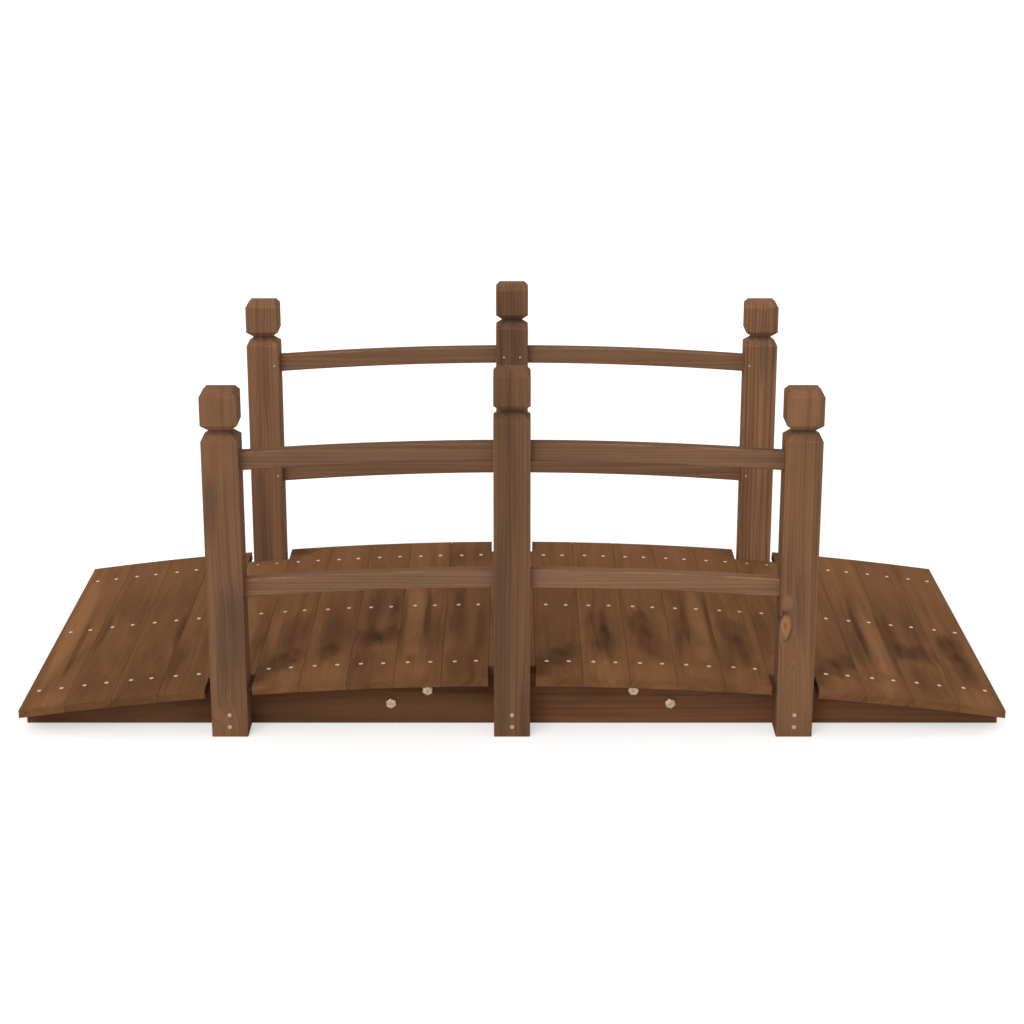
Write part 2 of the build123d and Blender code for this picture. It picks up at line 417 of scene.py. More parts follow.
def make_stained_wood(rings, marks, faces):
    """Colour, roughness and height of stained softwood with its grain along z."""
    tree, given, made = new_group(
        "stained_wood",
        [
            ("Vector", "Vector", None),
            ("Normal", "Vector", None),
            ("Early Wood", "Color", (0.2, 0.1, 0.05, 1)),
            ("Late Wood", "Color", (0.1, 0.05, 0.02, 1)),
            ("Smoke Colour", "Color", (0.06, 0.03, 0.016, 1)),
            ("Warm Colour", "Color", (0.25, 0.11, 0.04, 1)),
            ("Ring Width", "Float", 0.005),
            ("Wander", "Float", 0.008),
            ("Ring Strength", "Float", 0.6),
            ("Band Strength", "Float", 0.4),
            ("Smoke Strength", "Float", 0.4),
            ("Warm Strength", "Float", 0.3),
            ("Fibre Strength", "Float", 0.35),
            ("End Tone And Painted Sheen", "Float", 1.0),
            ("Dark Spots", "Float", 0.0),
            ("Warm Spots", "Float", 0.0),
            ("Swell", "Float", 0.0),
            ("Edge", "Float", 0.0),
        ],
        [("Color", "Color"), ("Roughness", "Float"), ("Height", "Float")],
    )
    value = given.outputs
    # The rings bend a little round a dark mark, and much where the grain swells
    bulge = maths(tree, "MULTIPLY", value["Dark Spots"], BEND_AT_MARK)
    bulge = maths(tree, "ADD", bulge, maths(tree, "MULTIPLY", value["Swell"], BEND_AT_SWELL))
    in_log = {n: value[n] for n in ("Vector", "Ring Width", "Wander")}
    ring = use_group(tree, rings, in_log | {"Bulge": bulge})
    mark = use_group(tree, marks, {"Vector": value["Vector"]})
    face = use_group(tree, faces, {n: value[n] for n in ("Vector", "Normal", "Edge")})
    late = maths(tree, "MULTIPLY", ring["Latewood"], value["Ring Strength"], clamp=True)
    colour = mixed(tree, late, value["Early Wood"], value["Late Wood"])
    dark_band = ramp(tree, ring["Band"], 0.5, 0.68)
    dark_band = maths(tree, "MULTIPLY", dark_band, value["Band Strength"], clamp=True)
    colour = mixed(tree, dark_band, colour, value["Late Wood"])
    warm = maths(tree, "MULTIPLY", ramp(tree, ring["Band"], 0.5, 0.34), value["Warm Strength"])
    warm = maths(tree, "ADD", warm, value["Warm Spots"], clamp=True)
    colour = mixed(tree, warm, colour, value["Warm Colour"])
    smoke = maths(tree, "MULTIPLY", mark["Smoke"], value["Smoke Strength"])
    banded = ramp(tree, ring["Band"], 0.36, 0.6, 0.82, 1.06)
    banded = maths(tree, "MULTIPLY", value["Dark Spots"], banded)
    smoke = maths(tree, "ADD", smoke, banded, clamp=True)
    colour = mixed(tree, smoke, colour, value["Smoke Colour"])
    # Fibres, clouds and pores lighten and darken by a factor about 1
    fibre = maths(tree, "SUBTRACT", mark["Fibre"], NOISE_MIDDLE)
    fibre = maths(tree, "MULTIPLY", fibre, value["Fibre Strength"])
    cloud = maths(tree, "SUBTRACT", mark["Cloud"], NOISE_MIDDLE)
    cloud = maths(tree, "MULTIPLY", cloud, CLOUD_STRENGTH)
    factor = maths(tree, "ADD", maths(tree, "ADD", fibre, cloud), 1.0)
    factor = maths(tree, "MULTIPLY", factor, ramp(tree, mark["Pore"], 0, 1, 1.0, PORE_SHADE))
    # Sawn ends take their own tone; on the posts this lightens the cap tops as a painted sheen
    end = maths(tree, "MULTIPLY", face["End Grain"], maths(tree, "SUBTRACT", value["End Tone And Painted Sheen"], 1.0))
    factor = maths(tree, "MULTIPLY", factor, maths(tree, "ADD", end, 1.0))
    factor = maths(tree, "MULTIPLY", factor, ramp(tree, face["Worn Edge"], 0, 1, 1.0, RUBBED_LIGHTNESS))
    grey = node(tree, "CombineColor", {0: factor, 1: factor, 2: factor}).outputs[0]
    colour = mixed(tree, 1.0, colour, grey, "MULTIPLY")
    rough = maths(tree, "ADD", WOOD_ROUGHNESS, maths(tree, "MULTIPLY", late, LATEWOOD_ROUGHNESS))
    rough = maths(tree, "ADD", rough, maths(tree, "MULTIPLY", fibre, FIBRE_ROUGHNESS))
    sawn = maths(tree, "MULTIPLY", face["End Grain"], SAWN_ROUGHNESS)
    rough = maths(tree, "ADD", rough, sawn, clamp=True)
    height = maths(tree, "ADD", maths(tree, "MULTIPLY", late, LATEWOOD_HEIGHT), mark["Fibre"])
    height = maths(tree, "SUBTRACT", height, maths(tree, "MULTIPLY", mark["Pore"], PORE_DEPTH))
    fill(tree, made, {"Color": colour, "Roughness": rough, "Height": height})
    return tree


STAINED_WOOD = make_stained_wood(make_growth_rings(), make_stain_marks(), make_cut_faces())
EASED_EDGES = make_eased_edges()
SOFT_SPOT = make_soft_spot()
KNOT = make_knot()
KNOT_COLOUR = srgb(164, 120, 82)
KNOT_CORE_COLOUR = srgb(146, 94, 56)
BARK_COLOUR = srgb(70, 47, 32)

# Turns that bring each piece's grain onto the pattern's z
GRAIN_TURNS = {"X": Euler((0, -math.pi / 2, 0)), "Y": Euler((math.pi / 2, 0, 0)), "Z": Euler((0, 0, 0))}


def wood_finish(name, grain, shift, tones, values, spots, knots):
    """Material of one piece: the way of its grain, its place in the log, its tones, marks and knots."""
    material = bpy.data.materials.new(name)
    material.use_nodes = True
    tree = material.node_tree
    shader = tree.nodes["Principled BSDF"]
    where = tree.nodes.new("ShaderNodeTexCoord")
    turn = GRAIN_TURNS[grain]
    in_grain = {"Vector": where.outputs["Object"], "Rotation": turn, "Location": shift}
    point = node(tree, "Mapping", in_grain).outputs[0]
    turned = {"Vector": where.outputs["Normal"], "Rotation": turn}
    facing = node(tree, "Mapping", turned, vector_type="VECTOR").outputs[0]
    marks = {}
    for kind, centre, reach, strength in spots:
        in_log = [abs(part) for part in turn.to_matrix() @ Vector(reach)]
        made = use_group(tree, SOFT_SPOT, {
            "Vector": point,
            "Centre": turn.to_matrix() @ Vector(centre) + Vector(shift),
            "Reach": in_log,
            "Strength": strength,
            "Feather": 0.0 if kind == "Swell" else min(FEATHER, FEATHER_SHARE * in_log[2]),
        } | ({"Others": marks[kind]} if kind in marks else {}))
        marks[kind] = made["Spot"]
    rounds = []
    for centre, radius in knots:
        in_log = turn.to_matrix() @ Vector(centre) + Vector(shift)
        rounds.append(use_group(tree, KNOT, {"Vector": point, "Centre": in_log, "Radius": radius}))
        point = rounds[-1]["Vector"]
    eased = use_group(tree, EASED_EDGES, {"Softness": EDGE_SOFTNESS})
    surface = {"Vector": point, "Normal": facing, "Edge": eased["Edge"]}
    wood = use_group(tree, STAINED_WOOD, surface | tones | values | marks)
    colour = wood["Color"]
    for knot in rounds:
        own = mixed(tree, knot["Core"], KNOT_COLOUR, KNOT_CORE_COLOUR)
        colour = mixed(tree, maths(tree, "MULTIPLY", knot["Knot"], KNOT_COVER), colour, own)
        colour = mixed(tree, maths(tree, "MULTIPLY", knot["Bark"], BARK_COVER), colour, BARK_COLOUR)
    bump = node(tree, "Bump", {
        "Height": wood["Height"],
        "Strength": RELIEF_STRENGTH,
        "Distance": RELIEF_HEIGHT,
        "Normal": eased["Normal"],
    })
    fill(tree, shader, {"Base Color": colour, "Roughness": wood["Roughness"], "Normal": bump.outputs[0]})
    shader.inputs["Specular IOR Level"].default_value = WOOD_SPECULAR
    return material


# Each kind of timber: its grain, how far its pith lies beside and beyond the middle of a piece, in metres,
# its tones and values, and by how much its pieces differ in lightness
WOOD_KINDS = {
    "plank": {
        "grain": "Y",
        "pith": ((-0.04, 0.04), (0.03, 0.06)),
        "tones": {
            "Early Wood": srgb(131, 90, 59),
            "Late Wood": srgb(107, 72, 46),
            "Smoke Colour": srgb(80, 52, 31),
            "Warm Colour": srgb(152, 106, 70),
        },
        "values": {
            "Ring Width": 0.0055,
            "Wander": 0.03,
            "Ring Strength": 0.32,
            "Band Strength": 0.5,
            "Smoke Strength": 0.3,
            "Warm Strength": 0.25,
            "Fibre Strength": 0.36,
            "End Tone And Painted Sheen": 0.78,
        },
        "spread": 0.06,
    },
    "post": {
        "grain": "Z",
        "pith": ((-0.04, 0.04), (0.03, 0.07)),
        "tones": {
            "Early Wood": srgb(127, 92, 67),
            "Late Wood": srgb(90, 63, 44),
            "Smoke Colour": srgb(88, 66, 53),
            "Warm Colour": srgb(138, 99, 70),
        },
        "values": {
            "Ring Width": 0.0055,
            "Wander": 0.014,
            "Ring Strength": 0.7,
            "Band Strength": 0.45,
            "Smoke Strength": 0.2,
            "Warm Strength": 0.3,
            "Fibre Strength": 0.35,
            # Painted sheen: the posts' sawn tops are made lighter, as glancing light would show them
            "End Tone And Painted Sheen": 1.2,
        },
        "spread": 0.04,
    },
    "rail": {
        "grain": "X",
        "pith": ((-0.05, 0.05), (0.02, 0.05)),
        "tones": {
            "Early Wood": srgb(130, 97, 73),
            "Late Wood": srgb(92, 65, 47),
            "Smoke Colour": srgb(102, 74, 56),
            "Warm Colour": srgb(138, 102, 76),
        },
        "values": {
            "Ring Width": 0.0045,
            "Wander": 0.01,
            "Ring Strength": 0.5,
            "Band Strength": 0.3,
            "Smoke Strength": 0.2,
            "Warm Strength": 0.2,
            "Fibre Strength": 0.35,
        },
        "spread": 0.04,
    },
    "beam": {
        "grain": "X",
        "pith": ((-0.06, 0.06), (0.03, 0.07)),
        "tones": {
            "Early Wood": srgb(109, 74, 50),
            "Late Wood": srgb(81, 54, 36),
            "Smoke Colour": srgb(70, 46, 32),
            "Warm Colour": srgb(120, 80, 55),
        },
        "values": {
            "Ring Width": 0.008,
            "Wander": 0.02,
            "Ring Strength": 0.5,
            "Band Strength": 0.5,
            "Smoke Strength": 0.3,
            "Warm Strength": 0.2,
            "Fibre Strength": 0.35,
        },
        "spread": 0.04,
    },
}

# Figure of a plank, in metres from its middle:
# kind, across, along, half its width, half its length, strength
PLANK_FIGURES = {
    "heart": (
        ("Dark Spots", -0.007, -0.082, 0.027, 0.072, 0.48),
        ("Dark Spots", 0.003, -0.172, 0.022, 0.080, 0.55),
        ("Warm Spots", -0.030, -0.100, 0.008, 0.130, 0.35),
        ("Warm Spots", 0.000, -0.300, 0.036, 0.058, 0.45),
    ),
    "full_heart": (
        ("Dark Spots", -0.005, -0.082, 0.029, 0.075, 0.58),
        ("Dark Spots", 0.002, -0.172, 0.024, 0.082, 0.62),
        ("Warm Spots", 0.027, -0.060, 0.008, 0.130, 0.35),
        ("Warm Spots", 0.000, -0.300, 0.036, 0.058, 0.45),
    ),
    "flame": (
        ("Dark Spots", 0.006, -0.115, 0.029, 0.115, 0.48),
        ("Dark Spots", -0.001, -0.200, 0.022, 0.044, 0.48),
        ("Warm Spots", -0.027, -0.110, 0.009, 0.120, 0.35),
        ("Warm Spots", 0.004, -0.298, 0.036, 0.058, 0.45),
    ),
    "flame_with_tail": (
        ("Dark Spots", 0.010, -0.105, 0.028, 0.105, 0.45),
        ("Dark Spots", 0.018, -0.208, 0.028, 0.040, 0.42),
        ("Dark Spots", -0.004, -0.238, 0.028, 0.045, 0.48),
        ("Dark Spots", -0.028, -0.285, 0.022, 0.055, 0.48),
        ("Warm Spots", 0.014, -0.305, 0.024, 0.040, 0.40),
        ("Warm Spots", -0.024, -0.110, 0.009, 0.110, 0.35),
        ("Dark Spots", -0.012, 0.318, 0.028, 0.030, 0.60),
    ),
    "stripe": (
        ("Dark Spots", -0.006, -0.050, 0.007, 0.150, 0.65),
        ("Warm Spots", 0.014, -0.045, 0.016, 0.160, 0.75),
        ("Warm Spots", 0.014, -0.205, 0.014, 0.040, 0.60),
        ("Dark Spots", 0.033, -0.080, 0.006, 0.180, 0.50),
        ("Dark Spots", -0.020, -0.120, 0.014, 0.120, 0.30),
        ("Warm Spots", 0.003, -0.287, 0.028, 0.034, 0.45),
    ),
    "smoky_front": (
        ("Dark Spots", 0.020, -0.212, 0.028, 0.040, 0.40),
        ("Dark Spots", -0.004, -0.240, 0.028, 0.046, 0.45),
        ("Dark Spots", -0.028, -0.282, 0.022, 0.055, 0.48),
        ("Warm Spots", 0.018, -0.308, 0.022, 0.034, 0.40),
    ),
    "smoky_middle": (
        ("Dark Spots", -0.014, -0.140, 0.034, 0.050, 0.50),
        ("Dark Spots", 0.020, -0.135, 0.030, 0.050, 0.52),
        ("Dark Spots", 0.024, -0.050, 0.012, 0.120, 0.42),
        ("Dark Spots", -0.012, -0.040, 0.018, 0.120, 0.30),
        ("Dark Spots", 0.000, -0.265, 0.040, 0.080, 0.28),
    ),
    "dull": (
        ("Dark Spots", -0.014, -0.060, 0.020, 0.150, 0.40),
        ("Dark Spots", 0.022, -0.120, 0.012, 0.130, 0.35),
        ("Dark Spots", -0.006, -0.260, 0.030, 0.085, 0.30),
        ("Dark Spots", 0.000, 0.260, 0.040, 0.070, 0.30),
    ),
    "faint": (
        ("Dark Spots", 0.030, -0.040, 0.010, 0.100, 0.40),
        ("Dark Spots", 0.006, -0.290, 0.040, 0.060, 0.16),
        ("Warm Spots", -0.018, -0.060, 0.010, 0.160, 0.25),
    ),
    "shaded_edge": (
        ("Dark Spots", -0.026, -0.110, 0.016, 0.120, 0.40),
    ),
    "warm_edge": (
        ("Warm Spots", -0.014, 0.040, 0.021, 0.280, 1.00),
        ("Dark Spots", 0.010, -0.085, 0.007, 0.160, 0.45),
        ("Warm Spots", 0.008, -0.305, 0.032, 0.036, 0.40),
    ),
}
# Which figure each plank shows, 1 or -1 for the way it lies, and how far along it is cut, in metres
FIGURED_PLANKS = {
    1: ("warm_edge", 1, 0.0), 2: ("faint", -1, 0.03), 3: ("faint", 1, 0.0),
    4: ("shaded_edge", 1, -0.09), 5: ("shaded_edge", -1, 0.02), 6: ("flame_with_tail", 1, 0.0),
    7: ("flame", 1, 0.0), 8: ("smoky_middle", 1, 0.0), 9: ("stripe", -1, 0.0),
    10: ("dull", 1, 0.0), 11: ("faint", -1, 0.0), 12: ("smoky_front", 1, 0.0),
    13: ("heart", 1, 0.0), 14: ("full_heart", 1, 0.0), 15: ("stripe", 1, 0.0),
    16: ("heart", 1, -0.004), 17: ("shaded_edge", 1, 0.0), 18: ("smoky_front", 1, 0.012),
    19: ("stripe", 1, -0.01), 20: ("smoky_middle", -1, 0.012), 21: ("full_heart", 1, -0.006),
}
# Painted light: the far ends of the planks are made lighter and warmer, where the light falls more brightly
REAR_PAINTED_LIGHT = ("Warm Spots", 0.0, 0.250, 0.060, 0.150, 0.30)

# Figure of a post or beam, and painted light on the front left beam, in metres from its middle and from the
# ground:
# kind, across, height, half its width, half its height, strength
SIDE_FIGURES_AND_PAINTED_LIGHT = {
    "front_left_post": (
        ("Dark Spots", 0.004, 0.165, 0.032, 0.090, 0.45),
        ("Dark Spots", -0.016, 0.365, 0.011, 0.070, 0.40),
        ("Dark Spots", 0.006, 0.300, 0.006, 0.180, 0.22),
        ("Warm Spots", -0.006, 0.450, 0.026, 0.060, 0.75),
        ("Swell", -0.002, -0.005, 0.026, 0.060, 0.60),
        ("Warm Spots", -0.004, 0.012, 0.030, 0.045, 0.50),
        ("Warm Spots", -0.004, 0.515, 0.040, 0.045, 0.70),
        ("Dark Spots", 0.006, 0.515, 0.004, 0.050, 0.32),
        ("Dark Spots", 0.019, 0.515, 0.004, 0.050, 0.26),
    ),
    "front_centre_post": (
        ("Dark Spots", -0.001, 0.430, 0.013, 0.170, 0.35),
        ("Dark Spots", -0.014, 0.150, 0.018, 0.240, 0.50),
        ("Dark Spots", 0.022, 0.040, 0.012, 0.070, 0.35),
        ("Warm Spots", 0.016, 0.290, 0.009, 0.260, 0.10),
    ),
    "front_right_post": (
        ("Swell", 0.002, 0.045, 0.020, 0.130, 0.70),
        ("Warm Spots", -0.016, 0.215, 0.010, 0.016, 0.80),
        ("Warm Spots", -0.018, 0.400, 0.012, 0.150, 0.55),
        ("Warm Spots", 0.010, 0.350, 0.012, 0.150, 0.25),
        ("Dark Spots", 0.001, 0.222, 0.010, 0.055, 0.35),
        ("Warm Spots", 0.000, 0.070, 0.034, 0.110, 0.50),
        ("Warm Spots", 0.000, 0.515, 0.040, 0.045, 0.80),
        ("Dark Spots", 0.004, 0.515, 0.005, 0.052, 0.34),
        ("Dark Spots", 0.023, 0.515, 0.004, 0.052, 0.34),
    ),
    "rear_left_post": (
        ("Dark Spots", -0.013, 0.150, 0.019, 0.190, 0.60),
        ("Dark Spots", 0.003, 0.430, 0.008, 0.100, 0.35),
    ),
    "rear_right_post": (
        ("Dark Spots", -0.013, 0.230, 0.012, 0.300, 0.06),
        ("Warm Spots", 0.004, 0.300, 0.004, 0.190, 0.50),
        ("Dark Spots", 0.002, 0.460, 0.012, 0.070, 0.35),
        ("Dark Spots", 0.010, 0.330, 0.004, 0.340, 0.50),
        ("Dark Spots", 0.019, 0.330, 0.004, 0.340, 0.35),
    ),
    "rear_centre_post": (("Dark Spots", 0.000, 0.440, 0.034, 0.180, 0.45),),
    "front_left_beam": (
        # Painted light: the far left of the beam, in the shade of the deck's overhang, is lightened
        ("Warm Spots", -0.240, 0.028, 0.150, 0.040, 0.90),
        ("Dark Spots", 0.290, 0.066, 0.130, 0.026, 0.45),
    ),
}
# Painted shade in the neck groove of a post: how far below the top, its half-height and strength,
# and how far it reaches across, which is all the way
NECK_PAINTED_SHADE = (0.0622, 0.0055, 0.55)
NECK_SHADE_REACH = 0.08
# Where the pith lies from a post's axis: beside it, so that the grain runs straight down the front
POST_PITHS = {
    "front_left_post": (0.070, -0.030),
    "front_centre_post": (-0.085, -0.024),
    "front_right_post": (0.050, -0.034),
    "rear_left_post": (-0.075, -0.024),
    "rear_centre_post": (0.080, -0.022),
    "rear_right_post": (-0.060, -0.022),
}
# How light the pieces are beside each other; the front beams are also lightened, the right one most, as
# painted light in the shade under the deck
LIGHTNESS = {
    "front_left_post": 1.0, "front_centre_post": 0.92, "front_right_post": 1.04,
    "rear_left_post": 1.24, "rear_centre_post": 1.0, "rear_right_post": 1.42,
    "front_left_top_rail": 0.93, "front_right_top_rail": 0.93,
    "front_left_lower_rail": 1.1, "front_right_lower_rail": 1.18,
    "rear_left_top_rail": 1.08, "rear_right_top_rail": 1.08,
    "rear_left_lower_rail": 1.12, "rear_right_lower_rail": 1.12,
    # Painted light: the front beams are lightened against the shade of the deck above them
    "front_left_beam": 1.02, "front_right_beam": 1.22,
    "deck_plank_01": 1.05, "deck_plank_02": 0.86, "deck_plank_03": 0.88, "deck_plank_04": 0.92,
    "deck_plank_05": 1.08, "deck_plank_06": 1.0, "deck_plank_08": 0.9, "deck_plank_10": 0.86,
    "deck_plank_13": 1.0, "deck_plank_21": 0.98,
}
# How much of its kind's ring contrast a piece shows
RING_SHARES = {
    "front_left_post": 0.6, "front_centre_post": 0.6, "front_right_post": 0.8, "rear_left_post": 0.8,
    "rear_right_post": 1.3,
}
# Middle and radius of each knot, in metres
KNOTS = {"front_right_post": (((0.4105, -0.335, 0.179), 0.009),)}
# How deep a mark of the figure goes into the wood
SPOT_DEPTH = 0.05
# Factors between which a piece's rings are narrower or wider than its kind's
RING_WIDTH_RANGE = (0.85, 1.2)
# How far along the log a piece may be cut from, in metres
LOG_RANGE = (-3, 3)


def kind_of(name):
    """Kind of timber that a piece is cut from."""
    for kind in ("plank", "post", "rail"):
        if kind in name:
            return kind
    return "beam"


def box_centre(name):
    """Middle of a piece's box."""
    low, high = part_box(name)
    return (low + high) / 2


def figure_and_painted_light_of(name):
    """Marks of a piece, with the painted light and shade laid on it, placed on the bridge."""
    centre = box_centre(name)
    if name in PLANKS:
        figure, way, cut = FIGURED_PLANKS[PLANKS.index(name) + 1]
        placed = []
        # Each plank's figure, then painted light over its far end
        for kind, across, along, half_width, half_length, strength in (*PLANK_FIGURES[figure], REAR_PAINTED_LIGHT):
            middle = (centre.x + way * across, along + cut, centre.z)
            placed.append((kind, middle, (half_width, half_length, SPOT_DEPTH), strength))
        return placed
    low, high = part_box(name)
    placed = []
    for kind, across, height, half_width, half_height, strength in SIDE_FIGURES_AND_PAINTED_LIGHT.get(name, ()):
        middle = (centre.x + across, low.y, height)
        placed.append((kind, middle, (half_width, SPOT_DEPTH, half_height), strength))
    if name in POSTS:
        # Painted shade darkens the neck groove of every post
        drop, half_height, strength = NECK_PAINTED_SHADE
        neck = (centre.x, centre.y, high.z - drop)
        placed.append(("Dark Spots", neck, (NECK_SHADE_REACH, NECK_SHADE_REACH, half_height), strength))
    return placed


def finish_piece(name):
    """Gives a piece its own stretch of wood, drawn by chance from its name."""
    kind = WOOD_KINDS[kind_of(name)]
    chance = random.Random(name)
    beside, beyond = kind["pith"]
    pith = (chance.uniform(*beside), chance.uniform(*beyond) * chance.choice((-1, 1)))
    lightness = 1 + chance.uniform(-kind["spread"], kind["spread"])
    pith = POST_PITHS.get(name, pith)
    lightness = LIGHTNESS.get(name, lightness)
    in_log = GRAIN_TURNS[kind["grain"]].to_matrix() @ box_centre(name)
    shift = (-pith[0] - in_log.x, -pith[1] - in_log.y, chance.uniform(*LOG_RANGE))
    tones = {socket: shaded(colour, lightness) for socket, colour in kind["tones"].items()}
    values = kind["values"] | {
        "Ring Width": kind["values"]["Ring Width"] * chance.uniform(*RING_WIDTH_RANGE),
        "Ring Strength": kind["values"]["Ring Strength"] * RING_SHARES.get(name, 1),
    }
    spots = figure_and_painted_light_of(name)
    knots = KNOTS.get(name, ())
    material = wood_finish(name + "_wood", kind["grain"], shift, tones, values, spots, knots)
    NODES[name].data.materials.clear()
    NODES[name].data.materials.append(material)


for name in sorted(NODES):
    finish_piece(name)


# Fasteners

# Attribute that marks the faces of a recess, and the painted shade that darkens the metal there
RECESS_MASK = "recess"
RECESS_PAINTED_SHADE = 0.6
# How far handling marks move the roughness up and down, and how metallic the plating is
MARK_ROUGHNESS = 0.08
PLATING_METALLIC = 0.85


def plated_metal(name, colour, roughness, fineness, dullest):
    """Plated steel, dulled to a share by handling marks, so many to a metre, and darkened by painted shade
    in a recess.
    """
    material = bpy.data.materials.new(name)
    material.use_nodes = True
    tree = material.node_tree
    shader = tree.nodes["Principled BSDF"]
    where = tree.nodes.new("ShaderNodeTexCoord")
    spots = noise(tree, scaled(tree, where.outputs["Object"], fineness), 3, 0.6)["Fac"]
    tone = mixed(tree, ramp(tree, spots, 0.3, 0.7), shaded(colour, dullest), colour)
    recess = node(tree, "Attribute", attribute_name=RECESS_MASK).outputs["Fac"]
    # The base colour takes painted shade on the recess faces
    fill(tree, shader, {
        "Base Color": mixed(tree, recess, tone, shaded(colour, RECESS_PAINTED_SHADE)),
        "Roughness": ramp(tree, spots, 0.3, 0.7, roughness - MARK_ROUGHNESS, roughness + MARK_ROUGHNESS),
    })
    shader.inputs["Metallic"].default_value = PLATING_METALLIC
    return material


SCREW_METAL = plated_metal("screw_plating", srgb(238, 207, 178), 0.42, 900.0, 0.8)
DULL_METAL = plated_metal("dulled_plating", srgb(192, 164, 142), 0.55, 900.0, 0.8)
BOLT_METAL = plated_metal("bolt_plating", srgb(214, 188, 158), 0.3, 330.0, 0.5)


def deselect():
    """Leaves nothing selected."""
    bpy.ops.object.select_all(action="DESELECT")


def pick(piece):
    """Makes a piece the only one selected, and active."""
    deselect()
    piece.select_set(True)
    bpy.context.view_layer.objects.active = piece


def add_cylinder(sides, radius, low, high):
    """Upright cylinder between two heights, its place in its mesh."""
    deselect()
    bpy.ops.mesh.primitive_cylinder_add(
        vertices=sides, radius=radius, depth=high - low, location=(0, 0, (low + high) / 2)
    )
    bpy.ops.object.transform_apply(location=True)
    return bpy.context.object


def select_faces(piece, direction):
    """Enters edit mode with the faces selected that point along +Z or -Z."""
    pick(piece)
    bpy.ops.object.mode_set(mode="EDIT")
    bpy.ops.mesh.select_mode(type="FACE")
    bpy.ops.mesh.select_all(action="DESELECT")
    bpy.ops.object.mode_set(mode="OBJECT")
    for face in piece.data.polygons:
        face.select = face.normal.z * direction > SAME_WAY
    bpy.ops.object.mode_set(mode="EDIT")


def round_rim(piece, amount, steps, direction=1):
    """Bevels the rim of a piece's top or bottom face."""
    select_faces(piece, direction)
    bpy.ops.mesh.bevel(offset=amount, segments=steps, affect="EDGES")
    bpy.ops.object.mode_set(mode="OBJECT")


def cut_with(piece, cutter, operation):
    """Boolean of one piece with another, which is then thrown away."""
    change = piece.modifiers.new("cut", "BOOLEAN")
    change.operation = operation
    change.solver = "EXACT"
    change.object = cutter
    pick(piece)
    bpy.ops.object.modifier_apply(modifier=change.name)
    bpy.data.objects.remove(cutter)


def smooth(piece, degrees):
    """Shades a piece smooth, apart from edges sharper than an angle."""
    pick(piece)
    bpy.ops.object.shade_smooth_by_angle(angle=math.radians(degrees))
    return piece


def model_screw_head(recess):
    """Countersunk head with a softened rim and a cross recess, its top at z = 0."""
    length, width, depth = recess
    head = add_cylinder(SMALL_HEAD_SIDES, SCREW_HEAD_RADIUS, -SCREW_HEAD_HEIGHT, 0)
    round_rim(head, SCREW_RIM, 1)
    for turn in (0, math.pi / 2):
        deselect()
        bpy.ops.mesh.primitive_cube_add(size=1, rotation=(0, 0, turn))
        slot = bpy.context.object
        slot.scale = (length, width, depth * 2)
        bpy.ops.object.transform_apply(rotation=True, scale=True)
        cut_with(head, slot, "DIFFERENCE")
    return smooth(head, SCREW_SMOOTHING)


def model_nail_head():
    """Small domed nail head, half sunk at z = 0."""
    head = add_cylinder(SMALL_HEAD_SIDES, NAIL_HEAD_RADIUS, -NAIL_STANDS_PROUD, NAIL_STANDS_PROUD)
    round_rim(head, NAIL_STANDS_PROUD, NAIL_ROUNDING_STEPS)
    return smooth(head, NAIL_SMOOTHING)


def add_hexagon(low, high, directions):
    """Hexagon between two heights, with its corners turned off at its top, or at both ends."""
    corner = BOLT_ACROSS_FLATS / math.sqrt(3)
    hexagon = add_cylinder(6, corner, low, high)
    below = CORNER_CHAMFER_DROP if -1 in directions else -CORNER_CHAMFER_DROP
    turned = add_cylinder(TURNED_SIDES, corner, low + below, high - CORNER_CHAMFER_DROP)
    share = 1 - CORNER_CHAMFER_IN / corner
    for direction in directions:
        select_faces(turned, direction)
        rise = (0, 0, direction * CORNER_CHAMFER_DROP)
        bpy.ops.mesh.extrude_region_move(TRANSFORM_OT_translate={"value": rise})
        bpy.ops.transform.resize(value=(share, share, 1))
        bpy.ops.object.mode_set(mode="OBJECT")
    cut_with(hexagon, turned, "INTERSECT")
    return hexagon


def model_bolt_head():
    """Hexagon head with a shallow round dimple, its seat at z = 0."""
    head = add_hexagon(0, BOLT_HEAD_HEIGHT, (1,))
    low = BOLT_HEAD_HEIGHT - BOLT_RECESS_DEPTH
    recess = add_cylinder(DIMPLE_SIDES, BOLT_RECESS_RADIUS, low, BOLT_HEAD_HEIGHT + BOLT_RECESS_DEPTH)
    round_rim(recess, BOLT_RECESS_ROUNDING, BOLT_ROUNDING_STEPS, -1)
    cut_with(head, recess, "DIFFERENCE")
    # Faces of the dimple are marked to take painted shade
    shade = head.data.attributes.new(RECESS_MASK, "FLOAT", "FACE")
    for face in head.data.polygons:
        from_axis = math.hypot(face.center.x, face.center.y)
        sunk = BOLT_HEAD_HEIGHT - face.center.z
        in_recess = from_axis < BOLT_RECESS_RADIUS and LEAST_SUNK < sunk < BOLT_HEAD_HEIGHT / 2
        shade.data[face.index].value = float(in_recess)
    return smooth(head, BOLT_SMOOTHING)


